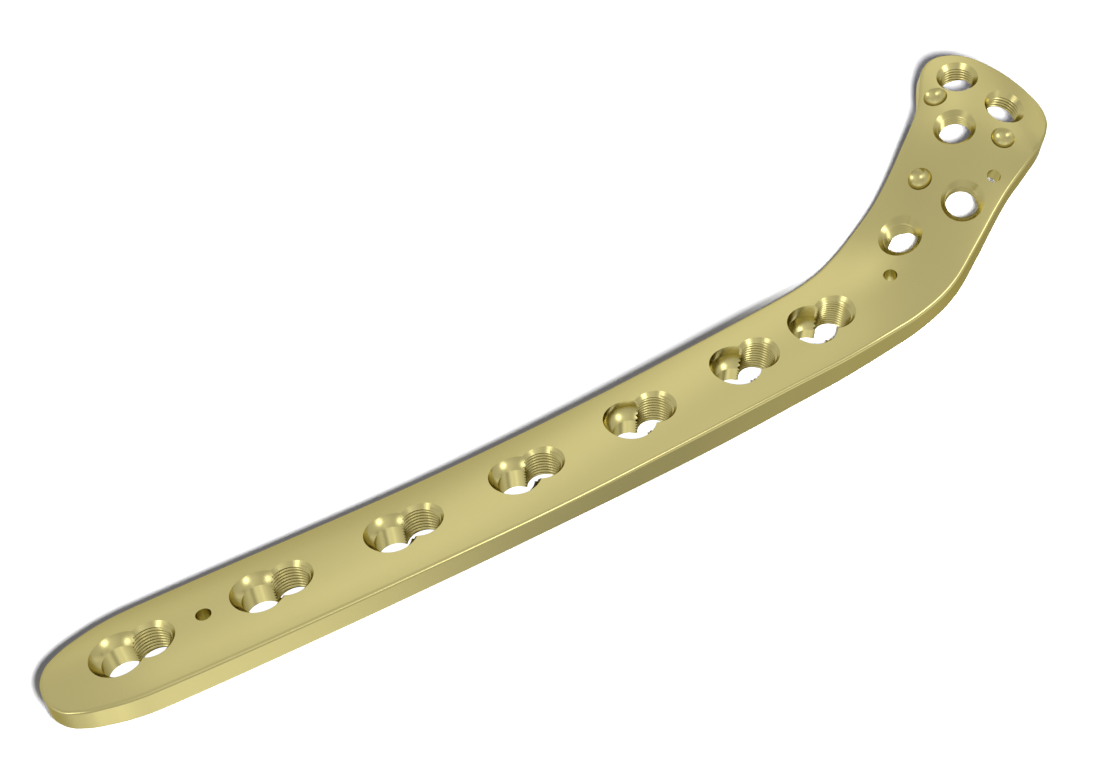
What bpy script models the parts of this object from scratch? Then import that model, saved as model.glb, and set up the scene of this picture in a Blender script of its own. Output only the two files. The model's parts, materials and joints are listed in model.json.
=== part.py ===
"""Bone plate for the lower end of the humerus.

A flat blank with the plate's outline is given its crown and its underside, bent and
twisted along its middle line, and then drilled: slots with two lobes along the shaft,
round holes, dimples and wire holes in the head. Sizes are in millimetres until MM
turns them into metres. Along the flat blank, x runs from the middle of the first
threaded lobe toward the head, y runs across, and z is up from the top face.
"""
import math

import bmesh
import bpy
import numpy as np
from mathutils import Matrix, Vector

MM = 0.001

# Holes along the shaft
shaft_holes = 7
hole_pitch = 18.0
last_pitch = 14.0
lobe_gap = 4.1
thread_rim_radius = 3.1
thread_bore_radius = 2.5
thread_funnel_depth = 1.1
seat_rim_radius = 3.65
seat_ball_radius = 4.0
slot_radius = 2.4
seat_depth = 1.5
deep_seats = 3
deep_seat_depth = 2.8
deep_seat_step = 0.6

# Blank
tip_length = 13.7
shaft_width = 15.0
waist_width = 14.3
neck_width = 17.0
head_length = 49.5
head_left = 11.1
head_right = 10.0
crown_radius = 26.0
edge_radius = 0.4
shaft_thickness = 4.5
waist_thickness = 5.75
head_edge_thickness = 5.4
head_hollow = 2.8
head_hollow_reach = 9.0
tip_drop = 1.2
tip_rise = 0.4

# Holes in the head, each placed by a share of the head's length, counted from the last
# hole of the shaft, and a share of the neck's half width
head_rim_radius = 3.3
head_bore_radius = 2.5
head_funnel_depth = 0.9
head_holes = [(0.335, 0.21), (0.511, -0.42), (0.723, 0.27), (0.863, -0.34), (0.909, 0.67)]
dimple_radius = 1.8
dimple_depth = 1.07
dimples = [(0.527, 0.42), (0.745, -0.565), (0.814, 0.835)]
wire_hole_radius = 1.0
wire_holes = [(0.208, -0.12), (0.616, -0.705)]
tip_wire_hole_x = 6.8

# Bends, in degrees
twist_of_shaft = 15.0
twist_back_at_neck = -4.5
twist_of_head = 11.0
rise_to_head = 52.0
fall_of_head = -52.0
sweep_of_shaft = 5.0
sweep_of_head = 23.0

# How the finished plate lies on a table, in degrees
lay_roll = -12.15
lay_nose_up = 0.45

# Cutting bodies and facets
cut_below = 9.0
cut_above = 3.0
shaft_facet = 6.0
head_facet = 3.0
strip = 3.0
round_steps = 24

last_hole = hole_pitch * (shaft_holes - 2) + last_pitch
head_end = last_hole + head_length


def on_shaft(share):
    """Station at a share of the way from the first hole to the last one."""
    return last_hole * share


def on_head(share):
    """Station at a share of the way from the last hole to the head's end."""
    return last_hole + head_length * share


def ease(u):
    """Smooth step from 0 to 1."""
    u = np.clip(u, 0.0, 1.0)
    return u * u * (3.0 - 2.0 * u)


def between(x, start, end):
    """Smooth step from 0 at one station to 1 at another."""
    return ease((x - start) / (end - start))


# Each bend runs between two stations along the plate
twists = [
    (twist_of_shaft, on_shaft(0.29), on_head(0.32)),
    (twist_back_at_neck, on_head(0.0), on_head(0.32)),
    (twist_of_head, on_head(0.73), on_head(1.05)),
]
rises = [
    (rise_to_head, on_head(-0.18), on_head(0.83)),
    (fall_of_head, on_head(0.36), on_head(1.09)),
]
sweeps = [
    (sweep_of_shaft, on_shaft(0.17), on_shaft(0.85)),
    (sweep_of_head, on_head(-0.14), on_head(0.85)),
]


def angle_at(x, bends):
    """Sum of a list of bends at the stations x, in radians."""
    total = np.zeros_like(x)
    for degrees, start, end in bends:
        total += math.radians(degrees) * between(x, start, end)
    return total


def frames_at(x):
    """Directions along, across and up at the stations x."""
    twist = angle_at(x, twists)
    rise = angle_at(x, rises)
    sweep = angle_at(x, sweeps)
    flat = np.zeros_like(x)
    along = np.stack(
        [np.cos(sweep) * np.cos(rise), np.sin(sweep) * np.cos(rise), np.sin(rise)], axis=-1)
    level = np.stack([-np.sin(sweep), np.cos(sweep), flat], axis=-1)
    upright = np.cross(along, level)
    across = level * np.cos(twist)[:, None] + upright * np.sin(twist)[:, None]
    up = np.cross(along, across)
    return along, across, up


def middle_line(x):
    """Middle line of the formed plate at the stations x."""
    fine = np.linspace(-tip_length * 1.5, head_end * 1.1, 801)
    along = frames_at(fine)[0]
    steps = (along[1:] + along[:-1]) * (fine[1] - fine[0]) / 2
    line = np.concatenate([np.zeros((1, 3)), np.cumsum(steps, axis=0)])
    origin = np.array([np.interp(0.0, fine, line[:, i]) for i in range(3)])
    return np.stack([np.interp(x, fine, line[:, i]) - origin[i] for i in range(3)], axis=-1)


def tip_fade(x):
    """0 along the shaft and 1 at the nose."""
    return (np.clip(-x, 0.0, None) / tip_length) ** 2


def top_height(x, y):
    """Height of the crowned top face over the middle line."""
    return -y * y / (2.0 * crown_radius) - tip_drop * tip_fade(x)


def bottom_height(x, y):
    """Height of the underside: flat along the shaft, hollow along the head."""
    depth = shaft_thickness + (waist_thickness - shaft_thickness) * between(
        x, on_shaft(0.45), on_shaft(0.85))
    depth = depth + (head_edge_thickness - waist_thickness) * between(
        x, on_head(0.4), on_head(0.8))
    hollow = head_hollow * between(x, on_head(0.0), on_head(0.56))
    across = 1.0 - np.clip(np.abs(y) / head_hollow_reach, 0.0, 1.0) ** 2
    return -depth + hollow * across + tip_rise * tip_fade(x)


def formed(points):
    """Carry points of the flat blank to their place on the formed plate."""
    x, y, z = points[:, 0], points[:, 1], points[:, 2]
    share = (z + shaft_thickness) / shaft_thickness
    low = bottom_height(x, y)
    height = low + (top_height(x, y) - low) * share
    along, across, up = frames_at(x)
    return middle_line(x) + across * y[:, None] + up * height[:, None]


def laid():
    """Turn of the finished plate that lays it on the table."""
    return Matrix.Rotation(math.radians(-lay_nose_up), 3, "Y") @ Matrix.Rotation(
        math.radians(lay_roll), 3, "X")


def pose(x, y):
    """Place on the top face with z along the face's normal."""
    step = 0.05
    middle = np.array([
        (x, y, 0.0), (x + step, y, 0.0), (x - step, y, 0.0), (x, y + step, 0.0), (x, y - step, 0.0)])
    spots = formed(middle)
    along = Vector(spots[1] - spots[2]).normalized()
    across = Vector(spots[3] - spots[4]).normalized()
    up = along.cross(across).normalized()
    side = up.cross(along)
    place = Matrix((along, side, up)).transposed().to_4x4()
    place.translation = Vector(spots[0])
    return place


def collection_named(name):
    """New collection in the scene."""
    group = bpy.data.collections.new(name)
    bpy.context.scene.collection.children.link(group)
    return group


def outline():
    """Outline of the blank: nose and right side, then the left side back to the nose."""
    wide = shaft_width / 2
    waist = waist_width / 2
    neck = neck_width / 2
    nose = [(0.92, 0.5), (0.77, 0.72), (0.56, 0.86), (0.3, 0.965), (0.0, 1.0)]
    shaft = [(on_shaft(0.45), wide), (on_shaft(0.72), waist), (on_head(-0.12), waist)]
    right_head = [
        (0.06, waist * 1.035), (0.18, neck * 0.965), (0.28, neck * 1.02), (0.42, neck * 0.98),
        (0.57, neck), (0.707, head_right * 0.95), (0.8, head_right), (0.89, head_right * 0.97),
        (0.935, head_right * 0.895), (0.966, head_right * 0.74), (0.984, head_right * 0.44)]
    left_head = [
        (1.004, head_left * 0.235), (1.006, head_left * 0.6), (0.988, head_left * 0.83),
        (0.962, head_left * 0.955), (0.919, head_left), (0.873, head_left * 0.955),
        (0.808, head_left * 0.856), (0.747, head_left * 0.793), (0.606, neck * 0.99),
        (0.424, neck * 0.98), (0.283, neck * 1.005), (0.182, neck * 0.953), (0.06, waist * 1.03)]
    right = [(-tip_length, 0.0)]
    right += [(-tip_length * share, -wide * width) for share, width in nose]
    right += [(x, -y) for x, y in shaft]
    right += [(on_head(share), -y) for share, y in right_head]
    left = [(on_head(share), y) for share, y in left_head]
    left += shaft[::-1]
    left += [(-tip_length * share, wide * width) for share, width in nose[::-1]]
    return right + left


def blank(group):
    """Flat blank with rounded edges, as a mesh."""
    shape = bpy.data.curves.new("blank_outline", "CURVE")
    shape.dimensions = "2D"
    shape.fill_mode = "BOTH"
    shape.extrude = shaft_thickness / 2
    shape.resolution_u = 3
    spline = shape.splines.new("BEZIER")
    spots = outline()
    spline.bezier_points.add(len(spots) - 1)
    spline.use_cyclic_u = True
    for point, (x, y) in zip(spline.bezier_points, spots):
        point.co = (x, y, -shaft_thickness / 2)
        point.handle_left_type = "AUTO"
        point.handle_right_type = "AUTO"
    curve = bpy.data.objects.new("blank_outline", shape)
    group.objects.link(curve)
    bpy.context.view_layer.update()
    evaluated = curve.evaluated_get(bpy.context.evaluated_depsgraph_get())
    mesh = bpy.data.meshes.new_from_object(evaluated)
    mesh.transform(curve.matrix_world)
    bpy.data.objects.remove(curve, do_unlink=True)

    body = bmesh.new()
    body.from_mesh(mesh)
    bmesh.ops.remove_doubles(body, verts=body.verts, dist=1e-4)
    flat = [face for face in body.faces if abs(face.normal.z) > 0.9]
    bmesh.ops.dissolve_faces(body, faces=[face for face in flat if face.normal.z > 0])
    bmesh.ops.dissolve_faces(
        body, faces=[face for face in body.faces if face.normal.z < -0.9])
    rims = [edge for edge in body.edges
            if any(abs(face.normal.z) > 0.9 for face in edge.link_faces)
            and any(abs(face.normal.z) < 0.9 for face in edge.link_faces)]
    bmesh.ops.bevel(
        body, geom=rims, offset=edge_radius, offset_type="OFFSET", segments=2,
        profile=0.5, affect="EDGES", clamp_overlap=True)
    body.to_mesh(mesh)
    body.free()
    return mesh


def form(mesh):
    """Cut the blank into short facets and bend it."""
    body = bmesh.new()
    body.from_mesh(mesh)
    bend_start = on_head(-0.2)
    stations = list(np.arange(-tip_length * 0.82, bend_start, shaft_facet))
    stations += list(np.arange(bend_start, head_end, head_facet))
    strips = np.arange(-math.floor(head_left / strip) * strip, head_left, strip)
    for x in stations:
        bmesh.ops.bisect_plane(
            body, geom=body.verts[:] + body.edges[:] + body.faces[:], dist=1e-4,
            plane_co=(x, 0, 0), plane_no=(1, 0, 0))
    for y in strips:
        bmesh.ops.bisect_plane(
            body, geom=body.verts[:] + body.edges[:] + body.faces[:], dist=1e-4,
            plane_co=(0, y, 0), plane_no=(0, 1, 0))
    places = formed(np.array([vert.co[:] for vert in body.verts], dtype=float))
    for vert, place in zip(body.verts, places):
        vert.co = Vector(place)
    bmesh.ops.triangulate(body, faces=body.faces[:])
    bmesh.ops.recalc_face_normals(body, faces=body.faces[:])
    body.to_mesh(mesh)
    body.free()


def turned(profile, steps=round_steps):
    """Closed body of revolution about z from a profile of (radius, height) pairs."""
    body = bmesh.new()
    rings = []
    for radius, height in profile:
        ring = []
        for i in range(steps):
            turn = math.tau * (i + 0.5) / steps
            ring.append(body.verts.new((radius * math.cos(turn), radius * math.sin(turn), height)))
        rings.append(ring)
    for low, high in zip(rings, rings[1:]):
        for i in range(steps):
            j = (i + 1) % steps
            body.faces.new((low[i], low[j], high[j], high[i]))
    body.faces.new(rings[0][::-1])
    body.faces.new(rings[-1])
    bmesh.ops.recalc_face_normals(body, faces=body.faces[:])
    return body


def ball_profile(ball_radius, centre, low_radius, high_radius, steps):
    """Part of a ball's profile from a low radius up to a high one."""
    start = math.acos(low_radius / ball_radius)
    end = math.acos(min(high_radius / ball_radius, 1.0))
    spots = []
    for i in range(steps + 1):
        angle = start + (end - start) * i / steps
        spots.append((ball_radius * math.cos(angle), centre - ball_radius * math.sin(angle)))
    return spots


def cutter(name, body, place, group):
    """Cutting body at its place on the plate."""
    mesh = bpy.data.meshes.new(name)
    body.transform(place)
    body.to_mesh(mesh)
    body.free()
    tool = bpy.data.objects.new(name, mesh)
    tool.hide_render = True
    tool.display_type = "WIRE"
    group.objects.link(tool)
    return tool


def seat_cutter(name, x, depth, group):
    """Ball seat over a smooth slot lobe."""
    centre = math.sqrt(seat_ball_radius ** 2 - slot_radius ** 2) - depth
    profile = [(slot_radius, -cut_below)]
    profile += ball_profile(seat_ball_radius, centre, slot_radius, seat_rim_radius, 4)
    profile.append((seat_rim_radius, cut_above))
    return cutter(name, turned(profile), pose(x, 0.0), group)


def funnel_cutter(name, x, y, rim, bore, depth, group):
    """Bore with a funnel at the top."""
    profile = [(bore, -cut_below), (bore, -depth), (rim * 2 - bore, depth)]
    return cutter(name, turned(profile), pose(x, y), group)


def drill(plate, group):
    """Make all cutting bodies and cut them out of the plate."""
    tools = []
    stations = [hole_pitch * i for i in range(shaft_holes - 1)] + [last_hole]
    for i, x in enumerate(stations):
        late = i - (shaft_holes - deep_seats)
        depth = seat_depth if late < 0 else deep_seat_depth + deep_seat_step * late
        tools.append(seat_cutter(f"seat_{i + 1}", x - lobe_gap, depth, group))
        tools.append(funnel_cutter(
            f"thread_lobe_{i + 1}", x, 0.0, thread_rim_radius, thread_bore_radius,
            thread_funnel_depth, group))
    half = neck_width / 2
    for i, (along, across) in enumerate(head_holes):
        tools.append(funnel_cutter(
            f"head_hole_{i + 1}", on_head(along), half * across, head_rim_radius,
            head_bore_radius, head_funnel_depth, group))
    ball_radius = (dimple_radius ** 2 + dimple_depth ** 2) / (2 * dimple_depth)
    for i, (along, across) in enumerate(dimples):
        profile = ball_profile(
            ball_radius, ball_radius - dimple_depth, dimple_radius * 0.14, dimple_radius, 5)
        profile.append((dimple_radius, cut_above))
        tools.append(cutter(
            f"dimple_{i + 1}", turned(profile, 20), pose(on_head(along), half * across), group))
    spots = [(tip_wire_hole_x, 0.0)]
    spots += [(on_head(along), half * across) for along, across in wire_holes]
    for i, (x, y) in enumerate(spots):
        profile = [(wire_hole_radius, -cut_below), (wire_hole_radius, cut_above)]
        tools.append(cutter(f"wire_hole_{i + 1}", turned(profile, 16), pose(x, y), group))
    for tool in tools:
        cut = plate.modifiers.new(tool.name, "BOOLEAN")
        cut.operation = "DIFFERENCE"
        cut.solver = "EXACT"
        cut.object = tool
    return tools


def titanium():
    """Gold-coloured titanium."""
    material = bpy.data.materials.new("gold_titanium")
    material.use_nodes = True
    shader = material.node_tree.nodes["Principled BSDF"]
    shader.inputs["Base Color"].default_value = (0.60, 0.53, 0.26, 1.0)
    shader.inputs["Metallic"].default_value = 1.0
    shader.inputs["Roughness"].default_value = 0.4
    return material


def main():
    for thing in list(bpy.data.objects):
        bpy.data.objects.remove(thing, do_unlink=True)
    parts = collection_named("bone_plate")
    tools = collection_named("cutters")

    mesh = blank(parts)
    form(mesh)
    mesh.name = "bone_plate"
    plate = bpy.data.objects.new("bone_plate", mesh)
    parts.objects.link(plate)
    mesh.materials.clear()
    mesh.materials.append(titanium())
    cutters = drill(plate, tools)

    # Lay the plate down, centre it over the origin and turn millimetres into metres
    bpy.context.view_layer.update()
    turn = laid()
    spots = [turn @ vert.co for vert in mesh.vertices]
    low = Vector([min(spot[i] for spot in spots) for i in range(3)])
    high = Vector([max(spot[i] for spot in spots) for i in range(3)])
    middle = (low + high) / 2
    rest = Matrix.Translation(-Vector((middle.x, middle.y, low.z))) @ turn.to_4x4()
    for thing in [plate] + cutters:
        thing.data.transform(Matrix.Scale(MM, 4) @ rest)
    bpy.context.view_layer.update()


main()
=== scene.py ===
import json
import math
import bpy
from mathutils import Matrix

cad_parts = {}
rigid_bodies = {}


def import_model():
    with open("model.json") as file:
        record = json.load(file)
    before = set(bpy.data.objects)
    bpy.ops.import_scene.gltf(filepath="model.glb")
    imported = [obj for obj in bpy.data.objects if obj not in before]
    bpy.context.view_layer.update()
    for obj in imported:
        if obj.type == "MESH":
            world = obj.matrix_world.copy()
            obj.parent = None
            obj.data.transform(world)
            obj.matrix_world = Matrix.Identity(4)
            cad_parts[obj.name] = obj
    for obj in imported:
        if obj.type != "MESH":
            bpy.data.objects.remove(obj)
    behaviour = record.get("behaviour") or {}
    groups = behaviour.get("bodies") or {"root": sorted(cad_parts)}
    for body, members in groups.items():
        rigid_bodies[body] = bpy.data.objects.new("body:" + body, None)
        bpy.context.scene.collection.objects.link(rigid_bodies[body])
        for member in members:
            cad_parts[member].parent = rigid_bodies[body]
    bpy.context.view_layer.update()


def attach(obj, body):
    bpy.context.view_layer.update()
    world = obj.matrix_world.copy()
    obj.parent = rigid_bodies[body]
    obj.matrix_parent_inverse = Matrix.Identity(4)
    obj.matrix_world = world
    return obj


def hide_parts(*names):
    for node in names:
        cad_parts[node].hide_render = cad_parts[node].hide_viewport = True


bl_info = {
    "name": "Bone plate look",
    "version": (1, 0, 0),
    "blender": (4, 5, 0),
    "location": "View3D > Sidebar > Bone Plate",
    "description": "Adds a finely modelled bone plate, its metal, and a pale stage",
    "category": "Object",
}

import bmesh
import bpy
import numpy as np
from bpy.props import FloatProperty, FloatVectorProperty, IntProperty, PointerProperty
from mathutils import Euler, Matrix, Vector

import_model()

MM = 0.001

# Holes along the shaft, in millimetres
SHAFT_HOLES = 7
HOLE_PITCH = 18.0
LAST_PITCH = 14.0
LOBE_GAP = 4.1
THREAD_RIM_RADIUS = 3.1
THREAD_BORE_RADIUS = 2.5
SEAT_RIM_RADIUS = 3.65
SEAT_BALL_RADIUS = 4.0
SLOT_RADIUS = 2.4
SEAT_DEPTH = 1.5
DEEP_SEATS = 3
DEEP_SEAT_DEPTH = 2.8
DEEP_SEAT_STEP = 0.6

# Blank
TIP_LENGTH = 13.7
SHAFT_WIDTH = 15.0
WAIST_WIDTH = 14.3
NECK_WIDTH = 17.0
HEAD_LENGTH = 49.5
HEAD_LEFT = 11.1
HEAD_RIGHT = 10.0
CROWN_RADIUS = 26.0
EDGE_RADIUS = 0.4
SHAFT_THICKNESS = 4.5
WAIST_THICKNESS = 5.75
HEAD_EDGE_THICKNESS = 5.4
HEAD_HOLLOW = 2.8
HEAD_HOLLOW_REACH = 9.0
TIP_DROP = 1.2
TIP_RISE = 0.4

# Head holes, by shares of the head's length and of the neck's half width
HEAD_RIM_RADIUS = 3.3
HEAD_BORE_RADIUS = 2.5
HEAD_HOLES = [(0.335, 0.21), (0.511, -0.42), (0.723, 0.27), (0.863, -0.34), (0.909, 0.67)]
DIMPLE_RADIUS = 1.8
DIMPLE_DEPTH = 1.07
DIMPLES = [(0.527, 0.42), (0.745, -0.565), (0.814, 0.835)]
WIRE_HOLE_RADIUS = 1.0
WIRE_HOLES = [(0.208, -0.12), (0.616, -0.705)]
TIP_WIRE_HOLE_X = 6.8

# Bends, in degrees
TWIST_OF_SHAFT = 15.0
TWIST_BACK_AT_NECK = -4.5
TWIST_OF_HEAD = 11.0
RISE_TO_HEAD = 52.0
FALL_OF_HEAD = -52.0
SWEEP_OF_SHAFT = 5.0
SWEEP_OF_HEAD = 23.0
LAY_ROLL = -12.15
LAY_NOSE_UP = 0.45

# Place of the blank's first hole in the model's own frame
FIRST_HOLE = (-67.235, -11.782, 5.904)

# Flat margin beside the rounded edge, and how far the cutting bodies pass the faces
EDGE_MARGIN = 0.12
CUT_BELOW = 9.0
CUT_ABOVE = 3.0

# Fineness: facets of the rounded edge, of the balls' profiles and round the wire holes, the
# smallest radius of a dimple's profile, how close points are merged, how upright a normal is on
# a wide face and on a wall, and the angle in degrees from which an edge is drawn sharp
EDGE_FACETS = 6
SEAT_FACETS = 12
DIMPLE_FACETS = 14
WIRE_FACETS = 48
DIMPLE_FLAT = 0.04
MERGE = 1e-4
FACES_UP = 0.9
FACES_SIDEWAYS = 0.1
SHARP_FROM = 32.0

# Thread: share of its depth that stands inside the plain bore, how far it passes the faces, and
# its tooth as pairs of a share of the pitch and a share of the depth, with rounded shoulders
CREST_SHARE = 0.5
THREAD_ABOVE = 0.3
THREAD_BELOW = WAIST_THICKNESS + 1.0
TOOTH = [(0.0, 0.0), (0.1, 0.0), (0.2, 0.1), (0.5, 1.0), (0.6, 1.0), (0.9, 0.1), (1.0, 0.0)]

# Grain in waves per metre and its height, slow clouds, and how far tone and roughness vary
GRAIN_PER_METRE = 9000.0
GRAIN_HEIGHT = 0.00002
CLOUDS_PER_METRE = 180.0
TONE_SPREAD = 0.03
ROUGHNESS_SPREAD = 0.02

# Floor: its tone, its size, and the two ovals outside which it glows plain white, a painted light
# that stands in for the lamps. Each oval has its centre, its half length and half width, and its
# turn in degrees. The painted glow is full where the distance from the centre is this many times
# the oval's. A third oval glows with painted light below the row of holes, where the plate hides it
# except through the slots, up to a share of its reach, so that the floor seen there looks lit.
FLOOR_TONE = 0.85
FLOOR_SIZE = 6.0
SHAFT_OVAL = ((-18.0, -8.5), (90.0, 16.0), 0.0)
HEAD_OVAL = ((70.0, 13.0), (50.0, 21.0), 30.0)
WHITE_GLOW_FULL = 1.3
UNDER_HOLES = ((-22.0, -9.0), (64.0, 6.0), 2.0)
UNDER_HOLES_LEVEL = 0.9
UNDER_HOLES_FULL = 0.8
# Least level of the floor's painted glow, which lights its shadow, and the tint of all its glow
SHADOW_LEVEL = 0.09
SHADOW_TINT = (1.0, 1.05, 1.3)

# Camera: its place in millimetres, its turn in degrees and its lens
CAMERA_PLACE = (-72.415, -118.973, 164.756)
CAMERA_TURN = (40.5889, -0.2305, -28.9504)
CAMERA_LENS = 50.0

# Lamps beside the camera: shift, aim, half angle and blend of the cone, size, power
SHAFT_LAMP = ((35.0, 22.0), (-29.1, 0.0), (43.0, 0.25), 17.0, 3.7)
HEAD_LAMP = ((9.0, 5.5), (31.9, 7.0), (27.0, 0.4), 7.0, 8.5)

# Surround: its lowest level, and its soft glows and dim patches, each with its turn, height
# and spread in degrees and its strength
DIMMEST = 0.04
GLOWS = [
    (-97.4, -39.7, 31, 1.565),
    (-92.8, -26.6, 33.9, -0.7),
    (-60.8, 49.3, 35.2, 0.233),
    (142.8, 40.3, 39.9, 0.16),
    (62, 32.9, 21.6, 0.471),
    (-48.6, -19.4, 16.7, 0.758),
    (62.5, -25.1, 20.8, 0.476),
    (111.7, -29.3, 19.3, 0.386),
    (178.8, 19.2, 13.8, 0.666),
    (-107.5, -42, 13.2, -0.7),
    (-59.2, -44.5, 12.8, -0.7),
    (18.6, 55.7, 16.6, 0.276),
    (156.5, 45.2, 19.4, -0.197),
    (-67.7, -26.4, 9.8, -0.537),
    (23.1, -50.2, 17.6, -0.158),
    (77.2, 56.5, 12.2, 0.302),
    (-34, -63.4, 9, -0.418),
    (-112.9, -33.9, 7.4, 0.527),
    (-38.3, 62, 14.3, -0.14),
    (94.5, 15.1, 10.4, 0.225),
    (12.1, 20.1, 7.1, 0.341),
    (-9.1, 45.7, 6.2, -0.404),
    (-71, 66.1, 6, 0.338),
    (10.4, 32.6, 6, 0.213),
    (-95, 46, 20, 0.15),
    (-61, 38, 9, 4.5),
    (-166, 38, 9, 3.2),
]

LAST_HOLE = HOLE_PITCH * (SHAFT_HOLES - 2) + LAST_PITCH
HEAD_END = LAST_HOLE + HEAD_LENGTH


def on_shaft(share):
    """Station at a share of the way from the first hole to the last one."""
    return LAST_HOLE * share


def on_head(share):
    """Station at a share of the way from the last hole to the head's end."""
    return LAST_HOLE + HEAD_LENGTH * share


TWISTS = [
    (TWIST_OF_SHAFT, on_shaft(0.29), on_head(0.32)),
    (TWIST_BACK_AT_NECK, on_head(0.0), on_head(0.32)),
    (TWIST_OF_HEAD, on_head(0.73), on_head(1.05)),
]
RISES = [
    (RISE_TO_HEAD, on_head(-0.18), on_head(0.83)),
    (FALL_OF_HEAD, on_head(0.36), on_head(1.09)),
]
SWEEPS = [
    (SWEEP_OF_SHAFT, on_shaft(0.17), on_shaft(0.85)),
    (SWEEP_OF_HEAD, on_head(-0.14), on_head(0.85)),
]


def between(x, start, end):
    """Smooth step from 0 at one station to 1 at another."""
    u = np.clip((x - start) / (end - start), 0.0, 1.0)
    return u * u * (3.0 - 2.0 * u)


def angle_at(x, bends):
    """Sum of a list of bends at the stations x, in radians."""
    total = np.zeros_like(x)
    for degrees, start, end in bends:
        total += math.radians(degrees) * between(x, start, end)
    return total


def frames_at(x):
    """Directions along, across and up at the stations x."""
    twist = angle_at(x, TWISTS)
    rise = angle_at(x, RISES)
    sweep = angle_at(x, SWEEPS)
    along = np.stack(
        [np.cos(sweep) * np.cos(rise), np.sin(sweep) * np.cos(rise), np.sin(rise)], axis=-1)
    level = np.stack([-np.sin(sweep), np.cos(sweep), np.zeros_like(x)], axis=-1)
    upright = np.cross(along, level)
    across = level * np.cos(twist)[:, None] + upright * np.sin(twist)[:, None]
    up = np.cross(along, across)
    return along, across, up


FINE = np.linspace(-TIP_LENGTH * 1.5, HEAD_END * 1.1, 801)


def middle_line(x):
    """Middle line of the formed plate at the stations x."""
    along = frames_at(FINE)[0]
    steps = (along[1:] + along[:-1]) * (FINE[1] - FINE[0]) / 2
    line = np.concatenate([np.zeros((1, 3)), np.cumsum(steps, axis=0)])
    origin = np.array([np.interp(0.0, FINE, line[:, i]) for i in range(3)])
    return np.stack([np.interp(x, FINE, line[:, i]) - origin[i] for i in range(3)], axis=-1)


def tip_fade(x):
    """0 along the shaft and 1 at the nose."""
    return (np.clip(-x, 0.0, None) / TIP_LENGTH) ** 2


def top_height(x, y):
    """Height of the crowned top face over the middle line."""
    return -y * y / (2.0 * CROWN_RADIUS) - TIP_DROP * tip_fade(x)


def bottom_height(x, y):
    """Height of the underside: flat along the shaft, hollow along the head."""
    depth = SHAFT_THICKNESS + (WAIST_THICKNESS - SHAFT_THICKNESS) * between(
        x, on_shaft(0.45), on_shaft(0.85))
    depth = depth + (HEAD_EDGE_THICKNESS - WAIST_THICKNESS) * between(
        x, on_head(0.4), on_head(0.8))
    hollow = HEAD_HOLLOW * between(x, on_head(0.0), on_head(0.56))
    across = 1.0 - np.clip(np.abs(y) / HEAD_HOLLOW_REACH, 0.0, 1.0) ** 2
    return -depth + hollow * across + TIP_RISE * tip_fade(x)


def formed(points):
    """Carry points of the flat blank to their place on the formed plate."""
    x, y, z = points[:, 0], points[:, 1], points[:, 2]
    share = (z + SHAFT_THICKNESS) / SHAFT_THICKNESS
    low = bottom_height(x, y)
    height = low + (top_height(x, y) - low) * share
    along, across, up = frames_at(x)
    return middle_line(x) + across * y[:, None] + up * height[:, None]


def pose(x, y):
    """Place on the top face with z along the face's normal."""
    step = 0.05
    spots = formed(np.array([
        (x, y, 0.0), (x + step, y, 0.0), (x - step, y, 0.0), (x, y + step, 0.0), (x, y - step, 0.0)]))
    along = Vector(spots[1] - spots[2]).normalized()
    across = Vector(spots[3] - spots[4]).normalized()
    up = along.cross(across).normalized()
    place = Matrix((along, up.cross(along), up)).transposed().to_4x4()
    place.translation = Vector(spots[0])
    return place


def to_model():
    """From the blank's frame in millimetres to the model's frame in metres."""
    turn = Matrix.Rotation(math.radians(-LAY_NOSE_UP), 3, "Y") @ Matrix.Rotation(
        math.radians(LAY_ROLL), 3, "X")
    return Matrix.Scale(MM, 4) @ Matrix.Translation(FIRST_HOLE) @ turn.to_4x4()


def outline():
    """Outline of the blank: nose and right side, then the left side back to the nose."""
    wide = SHAFT_WIDTH / 2
    waist = WAIST_WIDTH / 2
    neck = NECK_WIDTH / 2
    nose = [(0.92, 0.5), (0.77, 0.72), (0.56, 0.86), (0.3, 0.965), (0.0, 1.0)]
    shaft = [(on_shaft(0.45), wide), (on_shaft(0.72), waist), (on_head(-0.12), waist)]
    right_head = [
        (0.06, waist * 1.035), (0.18, neck * 0.965), (0.28, neck * 1.02), (0.42, neck * 0.98),
        (0.57, neck), (0.707, HEAD_RIGHT * 0.95), (0.8, HEAD_RIGHT), (0.89, HEAD_RIGHT * 0.97),
        (0.935, HEAD_RIGHT * 0.895), (0.966, HEAD_RIGHT * 0.74), (0.984, HEAD_RIGHT * 0.44)]
    left_head = [
        (1.004, HEAD_LEFT * 0.235), (1.006, HEAD_LEFT * 0.6), (0.988, HEAD_LEFT * 0.83),
        (0.962, HEAD_LEFT * 0.955), (0.919, HEAD_LEFT), (0.873, HEAD_LEFT * 0.955),
        (0.808, HEAD_LEFT * 0.856), (0.747, HEAD_LEFT * 0.793), (0.606, neck * 0.99),
        (0.424, neck * 0.98), (0.283, neck * 1.005), (0.182, neck * 0.953), (0.06, waist * 1.03)]
    right = [(-TIP_LENGTH, 0.0)]
    right += [(-TIP_LENGTH * share, -wide * width) for share, width in nose]
    right += [(x, -y) for x, y in shaft]
    right += [(on_head(share), -y) for share, y in right_head]
    left = [(on_head(share), y) for share, y in left_head]
    left += shaft[::-1]
    left += [(-TIP_LENGTH * share, wide * width) for share, width in nose[::-1]]
    return right + left


# Plate

def rim_edges(body):
    """Edges between a wide face of the blank and its wall."""
    return [edge for edge in body.edges
            if any(abs(face.normal.z) > FACES_UP for face in edge.link_faces)
            and any(abs(face.normal.z) < FACES_SIDEWAYS for face in edge.link_faces)]


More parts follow.
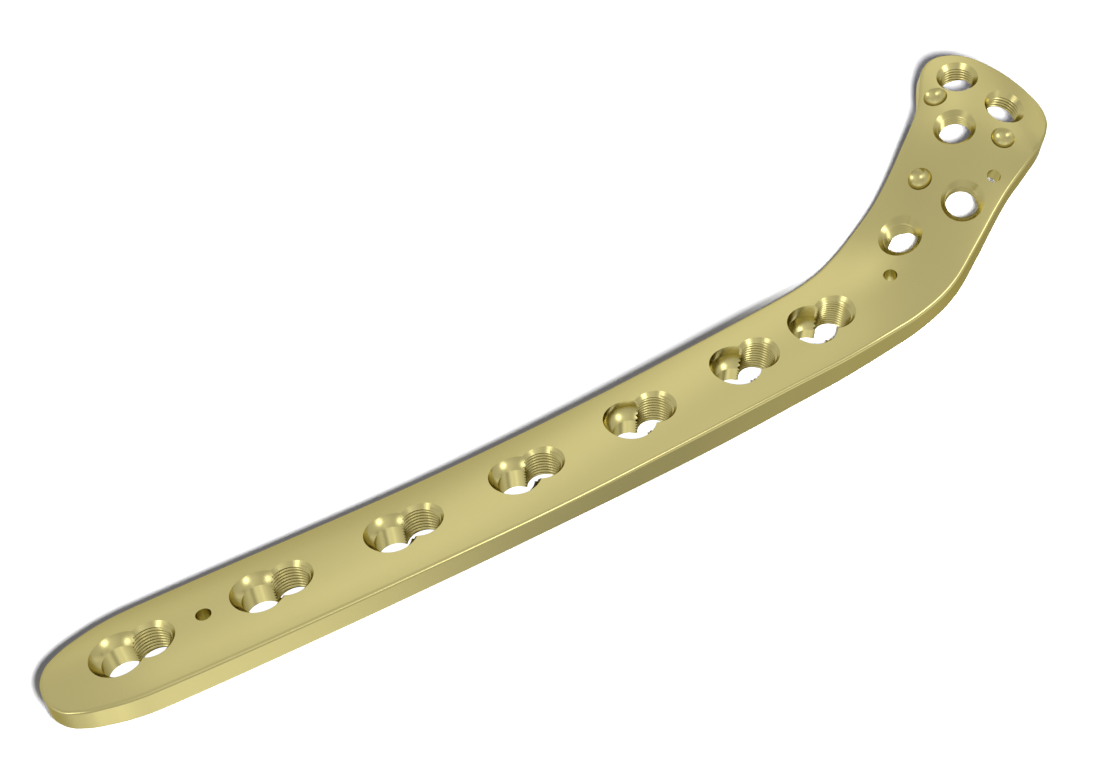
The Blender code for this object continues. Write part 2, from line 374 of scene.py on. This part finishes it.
def blank_mesh():
    """Flat blank with rounded edges."""
    shape = bpy.data.curves.new("blank_outline", "CURVE")
    shape.dimensions = "2D"
    shape.fill_mode = "BOTH"
    shape.extrude = SHAFT_THICKNESS / 2
    shape.resolution_u = 8
    spline = shape.splines.new("BEZIER")
    spots = outline()
    spline.bezier_points.add(len(spots) - 1)
    spline.use_cyclic_u = True
    for point, (x, y) in zip(spline.bezier_points, spots):
        point.co = (x, y, -SHAFT_THICKNESS / 2)
        point.handle_left_type = "AUTO"
        point.handle_right_type = "AUTO"
    curve = bpy.data.objects.new("blank_outline", shape)
    bpy.context.scene.collection.objects.link(curve)
    bpy.context.view_layer.update()
    evaluated = curve.evaluated_get(bpy.context.evaluated_depsgraph_get())
    mesh = bpy.data.meshes.new_from_object(evaluated)
    bpy.data.objects.remove(curve, do_unlink=True)

    body = bmesh.new()
    body.from_mesh(mesh)
    bmesh.ops.remove_doubles(body, verts=body.verts, dist=MERGE)
    for side in (1.0, -1.0):
        wide = [face for face in body.faces if face.normal.z * side > FACES_UP]
        bmesh.ops.dissolve_faces(body, faces=wide)
    # A square bevel first adds narrow margins, which keep the wide faces flat up to the rounding
    bmesh.ops.bevel(
        body, geom=rim_edges(body), offset=EDGE_RADIUS + EDGE_MARGIN, offset_type="OFFSET",
        segments=2, profile=1.0, material=-1, affect="EDGES", clamp_overlap=True)
    bmesh.ops.bevel(
        body, geom=rim_edges(body), offset=EDGE_RADIUS, offset_type="OFFSET",
        segments=EDGE_FACETS, profile=0.5, material=-1, affect="EDGES", clamp_overlap=True)
    body.to_mesh(mesh)
    body.free()
    return mesh


def form(mesh, facet):
    """Cut the blank into short facets and bend it."""
    body = bmesh.new()
    body.from_mesh(mesh)
    for x in np.arange(-TIP_LENGTH * 0.93, HEAD_END, facet):
        bmesh.ops.bisect_plane(
            body, geom=body.verts[:] + body.edges[:] + body.faces[:], dist=MERGE,
            plane_co=(x, 0, 0), plane_no=(1, 0, 0))
    for y in np.arange(-math.floor(HEAD_LEFT / facet) * facet, HEAD_LEFT, facet):
        bmesh.ops.bisect_plane(
            body, geom=body.verts[:] + body.edges[:] + body.faces[:], dist=MERGE,
            plane_co=(0, y, 0), plane_no=(0, 1, 0))
    places = formed(np.array([vert.co[:] for vert in body.verts], dtype=float))
    for vert, place in zip(body.verts, places):
        vert.co = Vector(place)
    bmesh.ops.triangulate(body, faces=body.faces[:])
    bmesh.ops.recalc_face_normals(body, faces=body.faces[:])
    body.to_mesh(mesh)
    body.free()


def turned(profile, steps):
    """Closed body of revolution about z from a profile of (radius, height) pairs."""
    body = bmesh.new()
    half = math.pi / steps
    spots = [(0.0, profile[0][1])] + profile + [(0.0, profile[-1][1])]
    path = [body.verts.new((radius * math.cos(half), radius * math.sin(half), height))
            for radius, height in spots]
    edges = [body.edges.new(pair) for pair in zip(path, path[1:])]
    bmesh.ops.spin(
        body, geom=path + edges, cent=(0, 0, 0), axis=(0, 0, 1), dvec=(0, 0, 0),
        angle=math.tau, steps=steps, use_merge=True, use_duplicate=False)
    bmesh.ops.remove_doubles(body, verts=body.verts, dist=MERGE)
    bmesh.ops.recalc_face_normals(body, faces=body.faces[:])
    return body


def tapped(crest, root, pitch, low, high, steps):
    """Threaded rod: one tooth's profile climbs a helix, and each turn joins the next."""
    turns = int((high - low) / pitch)
    body = bmesh.new()
    path = [body.verts.new((crest + (root - crest) * deep, 0.0, low + pitch * share))
            for share, deep in TOOTH]
    edges = [body.edges.new(pair) for pair in zip(path, path[1:])]
    bmesh.ops.spin(
        body, geom=path + edges, cent=(0, 0, 0), axis=(0, 0, 1), dvec=(0, 0, pitch / steps),
        angle=math.tau * turns, steps=steps * turns, use_merge=False, use_duplicate=False)
    bmesh.ops.remove_doubles(body, verts=body.verts, dist=pitch * 0.01)
    rims = [edge for edge in body.edges if edge.is_boundary]
    bmesh.ops.holes_fill(body, edges=rims, sides=0)
    bmesh.ops.recalc_face_normals(body, faces=body.faces[:])
    return body


def ball_profile(ball_radius, centre, low_radius, high_radius, steps):
    """Part of a ball's profile from a low radius up to a high one."""
    start = math.acos(low_radius / ball_radius)
    end = math.acos(min(high_radius / ball_radius, 1.0))
    spots = []
    for i in range(steps + 1):
        angle = start + (end - start) * i / steps
        spots.append((ball_radius * math.cos(angle), centre - ball_radius * math.sin(angle)))
    return spots


def cutter(name, body, place, group):
    """Cutting body at its place on the plate."""
    mesh = bpy.data.meshes.new(name)
    body.transform(place)
    body.to_mesh(mesh)
    body.free()
    tool = bpy.data.objects.new(name, mesh)
    group.objects.link(tool)
    return tool


def cutters(group, steps, pitch, depth):
    """All cutting bodies of the plate."""
    stations = [HOLE_PITCH * i for i in range(SHAFT_HOLES - 1)] + [LAST_HOLE]
    threaded = []
    for i, x in enumerate(stations):
        late = i - (SHAFT_HOLES - DEEP_SEATS)
        seat = SEAT_DEPTH if late < 0 else DEEP_SEAT_DEPTH + DEEP_SEAT_STEP * late
        centre = math.sqrt(SEAT_BALL_RADIUS ** 2 - SLOT_RADIUS ** 2) - seat
        profile = [(SLOT_RADIUS, -CUT_BELOW)]
        profile += ball_profile(SEAT_BALL_RADIUS, centre, SLOT_RADIUS, SEAT_RIM_RADIUS, SEAT_FACETS)
        profile.append((SEAT_RIM_RADIUS, CUT_ABOVE))
        cutter(f"seat_{i}", turned(profile, steps), pose(x - LOBE_GAP, 0.0), group)
        threaded.append((x, 0.0, THREAD_RIM_RADIUS, THREAD_BORE_RADIUS))
    half = NECK_WIDTH / 2
    for along, across in HEAD_HOLES:
        threaded.append((on_head(along), half * across, HEAD_RIM_RADIUS, HEAD_BORE_RADIUS))
    for i, (x, y, rim, bore) in enumerate(threaded):
        place = pose(x, y)
        crest = bore - depth * CREST_SHARE
        root = crest + depth
        cone = root * 0.5
        # The wall of each funnel stands at 45 degrees
        profile = [(cone, -(rim - cone)), (rim + CUT_ABOVE, CUT_ABOVE)]
        cutter(f"funnel_{i}", turned(profile, steps), place, group)
        rod = tapped(crest, root, pitch, -THREAD_BELOW, THREAD_ABOVE, steps)
        cutter(f"thread_{i}", rod, place, group)
    ball_radius = (DIMPLE_RADIUS ** 2 + DIMPLE_DEPTH ** 2) / (2 * DIMPLE_DEPTH)
    for i, (along, across) in enumerate(DIMPLES):
        profile = ball_profile(
            ball_radius, ball_radius - DIMPLE_DEPTH, DIMPLE_FLAT, DIMPLE_RADIUS, DIMPLE_FACETS)
        profile.append((DIMPLE_RADIUS, CUT_ABOVE))
        cutter(f"dimple_{i}", turned(profile, steps), pose(on_head(along), half * across), group)
    spots = [(TIP_WIRE_HOLE_X, 0.0)]
    spots += [(on_head(along), half * across) for along, across in WIRE_HOLES]
    for i, (x, y) in enumerate(spots):
        profile = [(WIRE_HOLE_RADIUS, -CUT_BELOW), (WIRE_HOLE_RADIUS, CUT_ABOVE)]
        cutter(f"wire_{i}", turned(profile, WIRE_FACETS), pose(x, y), group)


def plate_object(settings):
    """Finely modelled plate with its threads cut."""
    mesh = blank_mesh()
    form(mesh, settings.facet)
    plate = bpy.data.objects.new("plate_skin", mesh)
    bpy.context.scene.collection.objects.link(plate)
    tools = bpy.data.collections.new("tools")
    bpy.context.scene.collection.children.link(tools)
    cutters(tools, settings.round_steps, settings.thread_pitch / MM, settings.thread_depth / MM)
    cut = plate.modifiers.new("cut", "BOOLEAN")
    cut.operation = "DIFFERENCE"
    cut.solver = "EXACT"
    cut.operand_type = "COLLECTION"
    cut.collection = tools
    bpy.context.view_layer.update()
    evaluated = plate.evaluated_get(bpy.context.evaluated_depsgraph_get())
    result = bpy.data.meshes.new_from_object(evaluated)
    for tool in list(tools.objects):
        shape = tool.data
        bpy.data.objects.remove(tool, do_unlink=True)
        bpy.data.meshes.remove(shape)
    bpy.data.collections.remove(tools)
    plate.modifiers.clear()
    plate.data = result
    bpy.data.meshes.remove(mesh)
    result.name = "plate_skin"
    result.transform(to_model())
    result.materials.clear()
    for polygon in result.polygons:
        polygon.use_smooth = True
    result.set_sharp_from_angle(angle=math.radians(SHARP_FROM))
    result.update()
    return plate


# Materials

def node(tree, kind, x, y, **values):
    """Node at a place in the editor with some of its properties set."""
    made = tree.nodes.new(kind)
    made.location = (x, y)
    for key, value in values.items():
        setattr(made, key, value)
    return made


def grain_group():
    """Fine blasted grain and slow unevenness, as a normal and two masks."""
    tree = bpy.data.node_groups.new("Blasted Grain", "ShaderNodeTree")
    tree.interface.new_socket("Strength", in_out="INPUT", socket_type="NodeSocketFloat")
    tree.interface.new_socket("Normal", in_out="OUTPUT", socket_type="NodeSocketVector")
    tree.interface.new_socket("Grain", in_out="OUTPUT", socket_type="NodeSocketFloat")
    tree.interface.new_socket("Cloud", in_out="OUTPUT", socket_type="NodeSocketFloat")
    given = node(tree, "NodeGroupInput", -900, 0)
    place = node(tree, "ShaderNodeTexCoord", -900, -200)
    fine = node(tree, "ShaderNodeTexNoise", -650, 100)
    fine.inputs["Scale"].default_value = GRAIN_PER_METRE
    fine.inputs["Detail"].default_value = 3.0
    fine.inputs["Roughness"].default_value = 0.6
    slow = node(tree, "ShaderNodeTexNoise", -650, -250)
    slow.inputs["Scale"].default_value = CLOUDS_PER_METRE
    slow.inputs["Detail"].default_value = 2.0
    bump = node(tree, "ShaderNodeBump", -350, 100)
    bump.inputs["Distance"].default_value = GRAIN_HEIGHT
    out = node(tree, "NodeGroupOutput", 0, 0)
    links = tree.links
    links.new(place.outputs["Object"], fine.inputs["Vector"])
    links.new(place.outputs["Object"], slow.inputs["Vector"])
    links.new(fine.outputs["Fac"], bump.inputs["Height"])
    links.new(given.outputs["Strength"], bump.inputs["Strength"])
    links.new(bump.outputs["Normal"], out.inputs["Normal"])
    links.new(fine.outputs["Fac"], out.inputs["Grain"])
    links.new(slow.outputs["Fac"], out.inputs["Cloud"])
    return tree


def gold_titanium(settings):
    """Satin titanium with a gold anodised film."""
    material = bpy.data.materials.new("gold_titanium_satin")
    material.use_nodes = True
    tree = material.node_tree
    shader = tree.nodes["Principled BSDF"]
    shader.inputs["Metallic"].default_value = 1.0
    shader.inputs["Specular Tint"].default_value = (*settings.film_edge_colour, 1.0)
    grain = node(tree, "ShaderNodeGroup", -900, 0)
    grain.node_tree = grain_group()
    grain.inputs["Strength"].default_value = settings.grain
    tone = node(tree, "ShaderNodeValToRGB", -600, 200)
    film = Vector(settings.film_colour)
    tone.color_ramp.elements[0].position = 0.3
    tone.color_ramp.elements[0].color = (*(film * (1.0 - TONE_SPREAD)), 1.0)
    tone.color_ramp.elements[1].position = 0.7
    tone.color_ramp.elements[1].color = (*(film * (1.0 + TONE_SPREAD)), 1.0)
    rough = node(tree, "ShaderNodeMapRange", -600, -150)
    rough.inputs["From Min"].default_value = 0.2
    rough.inputs["From Max"].default_value = 0.8
    rough.inputs["To Min"].default_value = settings.roughness - ROUGHNESS_SPREAD
    rough.inputs["To Max"].default_value = settings.roughness + ROUGHNESS_SPREAD
    links = tree.links
    links.new(grain.outputs["Grain"], tone.inputs["Fac"])
    links.new(grain.outputs["Cloud"], rough.inputs["Value"])
    links.new(tone.outputs["Color"], shader.inputs["Base Color"])
    links.new(rough.outputs["Result"], shader.inputs["Roughness"])
    links.new(grain.outputs["Normal"], shader.inputs["Normal"])
    return material


def floor_material():
    """Pale floor that keeps the shadow near the plate, and glows plain white with painted light
    further out and below the row of holes.
    """
    material = bpy.data.materials.new("pale_floor")
    material.use_nodes = True
    tree = material.node_tree
    shader = tree.nodes["Principled BSDF"]
    shader.inputs["Base Color"].default_value = (FLOOR_TONE, FLOOR_TONE, FLOOR_TONE, 1.0)
    shader.inputs["Roughness"].default_value = 1.0
    shader.inputs["Specular IOR Level"].default_value = 0.0
    shader.inputs["Emission Color"].default_value = (*SHADOW_TINT, 1.0)
    place = node(tree, "ShaderNodeTexCoord", -1100, -200)
    outside = node(tree, "ShaderNodeMath", -500, -200, operation="MINIMUM")
    # Painted glow: the least level near the plate, rising to plain white outside the ovals
    far = node(tree, "ShaderNodeMapRange", -300, -200, interpolation_type="SMOOTHSTEP")
    far.inputs["From Min"].default_value = 1.0
    far.inputs["From Max"].default_value = WHITE_GLOW_FULL
    far.inputs["To Min"].default_value = SHADOW_LEVEL
    # Painted glow below the row of holes, which lights the floor seen through the slots
    below = node(tree, "ShaderNodeMapRange", -500, -1000, interpolation_type="SMOOTHSTEP")
    below.inputs["From Min"].default_value = 1.0
    below.inputs["From Max"].default_value = UNDER_HOLES_FULL
    below.inputs["To Max"].default_value = UNDER_HOLES_LEVEL
    glow = node(tree, "ShaderNodeMath", -100, -200, operation="MAXIMUM")
    links = tree.links
    gauges = (outside.inputs[0], outside.inputs[1], below.inputs["Value"])
    for row, (centre, half, turn) in enumerate((SHAFT_OVAL, HEAD_OVAL, UNDER_HOLES)):
        oval = node(tree, "ShaderNodeMapping", -900, -200 - 400 * row)
        oval.vector_type = "TEXTURE"
        oval.inputs["Location"].default_value = (centre[0] * MM, centre[1] * MM, 0.0)
        oval.inputs["Rotation"].default_value = (0.0, 0.0, math.radians(turn))
        oval.inputs["Scale"].default_value = (half[0] * MM, half[1] * MM, 1.0)
        reach = node(tree, "ShaderNodeVectorMath", -700, -200 - 400 * row, operation="LENGTH")
        links.new(place.outputs["Object"], oval.inputs["Vector"])
        links.new(oval.outputs["Vector"], reach.inputs[0])
        links.new(reach.outputs["Value"], gauges[row])
    links.new(outside.outputs["Value"], far.inputs["Value"])
    links.new(far.outputs["Result"], glow.inputs[0])
    links.new(below.outputs["Result"], glow.inputs[1])
    links.new(glow.outputs["Value"], shader.inputs["Emission Strength"])
    return material


# Stage

def camera_turn():
    """Turn of the camera in radians."""
    return Euler([math.radians(turn) for turn in CAMERA_TURN])


def camera():
    """Camera at the photograph's viewing angle."""
    lens = bpy.data.cameras.new("camera")
    lens.lens = CAMERA_LENS
    lens.sensor_width = 36.0
    lens.clip_start = 0.01
    lens.clip_end = 20.0
    view = bpy.data.objects.new("camera", lens)
    view.location = Vector(CAMERA_PLACE) * MM
    view.rotation_euler = camera_turn()
    bpy.context.scene.collection.objects.link(view)
    bpy.context.scene.camera = view
    return view


def shadow_lamp(name, shift, aim, cone, size, power):
    """Soft spot beside the camera, which draws the shadow on the floor and stays out of the metal.

    The shift in millimetres is to the camera's right and down. The aim is in degrees, to the
    right of the view's middle and up from it, and the cone gives half its angle and its blend.
    """
    light = bpy.data.lights.new(name, "SPOT")
    light.energy = power
    light.spot_size = 2 * math.radians(cone[0])
    light.spot_blend = cone[1]
    light.shadow_soft_size = size * MM
    turn = camera_turn().to_matrix()
    thing = bpy.data.objects.new(name, light)
    thing.location = (Vector(CAMERA_PLACE) + turn @ Vector((shift[0], -shift[1], 0.0))) * MM
    sight = turn @ Vector((math.tan(math.radians(aim[0])), math.tan(math.radians(aim[1])), -1.0))
    thing.rotation_euler = sight.to_track_quat("-Z", "Y").to_euler()
    thing.visible_glossy = False
    bpy.context.scene.collection.objects.link(thing)
    return thing


def glow_group():
    """One soft round light of the surround: a bell about its direction."""
    tree = bpy.data.node_groups.new("Soft Glow", "ShaderNodeTree")
    tree.interface.new_socket("View", in_out="INPUT", socket_type="NodeSocketVector")
    tree.interface.new_socket("Centre", in_out="INPUT", socket_type="NodeSocketVector")
    tree.interface.new_socket("Sharpness", in_out="INPUT", socket_type="NodeSocketFloat")
    tree.interface.new_socket("Strength", in_out="INPUT", socket_type="NodeSocketFloat")
    tree.interface.new_socket("Before", in_out="INPUT", socket_type="NodeSocketFloat")
    tree.interface.new_socket("Value", in_out="OUTPUT", socket_type="NodeSocketFloat")
    given = node(tree, "NodeGroupInput", -900, 0)
    across = node(tree, "ShaderNodeVectorMath", -700, 0, operation="DOT_PRODUCT")
    less = node(tree, "ShaderNodeMath", -500, 0, operation="SUBTRACT")
    less.inputs[1].default_value = 1.0
    steep = node(tree, "ShaderNodeMath", -300, 0, operation="MULTIPLY")
    bell = node(tree, "ShaderNodeMath", -100, 0, operation="EXPONENT")
    total = node(tree, "ShaderNodeMath", 100, 0, operation="MULTIPLY_ADD")
    out = node(tree, "NodeGroupOutput", 300, 0)
    links = tree.links
    links.new(given.outputs["View"], across.inputs[0])
    links.new(given.outputs["Centre"], across.inputs[1])
    links.new(across.outputs["Value"], less.inputs[0])
    links.new(less.outputs["Value"], steep.inputs[0])
    links.new(given.outputs["Sharpness"], steep.inputs[1])
    links.new(steep.outputs["Value"], bell.inputs[0])
    links.new(bell.outputs["Value"], total.inputs[0])
    links.new(given.outputs["Strength"], total.inputs[1])
    links.new(given.outputs["Before"], total.inputs[2])
    links.new(total.outputs["Value"], out.inputs["Value"])
    return tree


def towards(turn, height):
    """Direction from a turn about z and a height over the horizon, in degrees."""
    turn, height = math.radians(turn), math.radians(height)
    return (math.cos(turn) * math.cos(height), math.sin(turn) * math.cos(height), math.sin(height))


def world(settings):
    """Studio around the plate: soft glows and dim patches that the metal mirrors."""
    sky = bpy.data.worlds.new("surround")
    bpy.context.scene.world = sky
    sky.use_nodes = True
    tree = sky.node_tree
    back = tree.nodes["Background"]
    back.inputs["Color"].default_value = (1.0, 1.0, 1.0, 1.0)
    links = tree.links
    view = node(tree, "ShaderNodeTexCoord", -1400, 0)
    group = glow_group()
    total = None
    for i, (turn, height, spread, strength) in enumerate(GLOWS):
        glow = node(tree, "ShaderNodeGroup", -1200 + 40 * i, 300 - 60 * i)
        glow.node_tree = group
        glow.inputs["Centre"].default_value = towards(turn, height)
        glow.inputs["Sharpness"].default_value = 1.0 / (1.0 - math.cos(math.radians(spread)))
        glow.inputs["Strength"].default_value = strength
        glow.inputs["Before"].default_value = settings.surround
        links.new(view.outputs["Generated"], glow.inputs["View"])
        if total is not None:
            links.new(total, glow.inputs["Before"])
        total = glow.outputs["Value"]
    least = node(tree, "ShaderNodeMath", -100, 200, operation="MAXIMUM")
    least.inputs[1].default_value = DIMMEST
    path = node(tree, "ShaderNodeLightPath", -100, -100)
    white = node(tree, "ShaderNodeMapRange", 100, 100)
    white.inputs["To Max"].default_value = 1.0
    links.new(total, least.inputs[0])
    links.new(path.outputs["Is Camera Ray"], white.inputs["Value"])
    links.new(least.outputs["Value"], white.inputs["To Min"])
    links.new(white.outputs["Result"], back.inputs["Strength"])
    # The floor's own light stands in for this, so that the shadow keeps its depth
    sky.cycles_visibility.diffuse = False


class BonePlateSettings(bpy.types.PropertyGroup):
    facet: FloatProperty(
        name="Facet", description="Longest facet of the wide faces, in millimetres",
        default=1.5, min=0.5, max=6.0)
    round_steps: IntProperty(
        name="Steps Around", description="Facets around each hole", default=64, min=16, max=160)
    thread_pitch: FloatProperty(
        name="Thread Pitch", description="Height of one turn of the threads",
        default=0.0005, min=0.0002, max=0.002, precision=5, unit="LENGTH")
    thread_depth: FloatProperty(
        name="Thread Depth", description="Depth of the threads from crest to root",
        default=0.0003, min=0.00005, max=0.0006, precision=5, unit="LENGTH")
    film_colour: FloatVectorProperty(
        name="Film", description="Colour of the anodised film seen face on",
        default=(0.55, 0.487, 0.205), min=0.0, max=1.0, size=3, subtype="COLOR")
    film_edge_colour: FloatVectorProperty(
        name="Film Edge", description="Tint of the anodised film seen at a slant",
        default=(0.72, 0.64, 0.36), min=0.0, max=1.0, size=3, subtype="COLOR")
    roughness: FloatProperty(
        name="Roughness", description="Roughness of the satin finish",
        default=0.17, min=0.05, max=0.9, subtype="FACTOR")
    grain: FloatProperty(
        name="Grain", description="Strength of the fine blasted grain",
        default=0.35, min=0.0, max=1.0, subtype="FACTOR")
    surround: FloatProperty(
        name="Surround", description="Level of the plain surround that the metal mirrors",
        default=0.676, min=0.0, max=3.0)


class AddPlate(bpy.types.Operator):
    """Add the plate"""
    bl_idname = "bone_plate.add_plate"
    bl_label = "Plate"
    bl_options = {"REGISTER", "UNDO"}

    def execute(self, context):
        settings = context.scene.bone_plate_settings
        plate = plate_object(settings)
        plate.data.materials.append(gold_titanium(settings))
        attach(plate, "root")
        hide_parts("bone_plate")
        return {"FINISHED"}


class AddStage(bpy.types.Operator):
    """Add the floor, the lamps, the surround and the camera"""
    bl_idname = "bone_plate.add_stage"
    bl_label = "Stage"
    bl_options = {"REGISTER", "UNDO"}

    def execute(self, context):
        bpy.ops.mesh.primitive_plane_add(size=FLOOR_SIZE, location=(0.0, 0.0, 0.0))
        floor = context.active_object
        floor.name = "floor"
        floor.data.materials.append(floor_material())
        # The metal mirrors the surround's pale lower half instead of the lit floor
        floor.visible_glossy = False
        shadow_lamp("shaft_lamp", *SHAFT_LAMP)
        shadow_lamp("head_lamp", *HEAD_LAMP)
        world(context.scene.bone_plate_settings)
        camera()
        return {"FINISHED"}


class BonePlatePanel(bpy.types.Panel):
    bl_idname = "VIEW3D_PT_bone_plate"
    bl_label = "Bone Plate"
    bl_space_type = "VIEW_3D"
    bl_region_type = "UI"
    bl_category = "Bone Plate"

    def draw(self, context):
        layout = self.layout
        settings = context.scene.bone_plate_settings
        for name in settings.bl_rna.properties.keys():
            if name not in {"rna_type", "name"}:
                layout.prop(settings, name)
        layout.operator(AddPlate.bl_idname)
        layout.operator(AddStage.bl_idname)


CLASSES = [BonePlateSettings, AddPlate, AddStage, BonePlatePanel]


def register():
    for item in CLASSES:
        bpy.utils.register_class(item)
    bpy.types.Scene.bone_plate_settings = PointerProperty(type=BonePlateSettings)


def unregister():
    del bpy.types.Scene.bone_plate_settings
    for item in reversed(CLASSES):
        bpy.utils.unregister_class(item)


def main():
    register()
    bpy.context.scene.view_settings.view_transform = "Standard"
    bpy.ops.bone_plate.add_plate()
    bpy.ops.bone_plate.add_stage()
    bpy.context.view_layer.update()


if __name__ == "__main__":
    main()
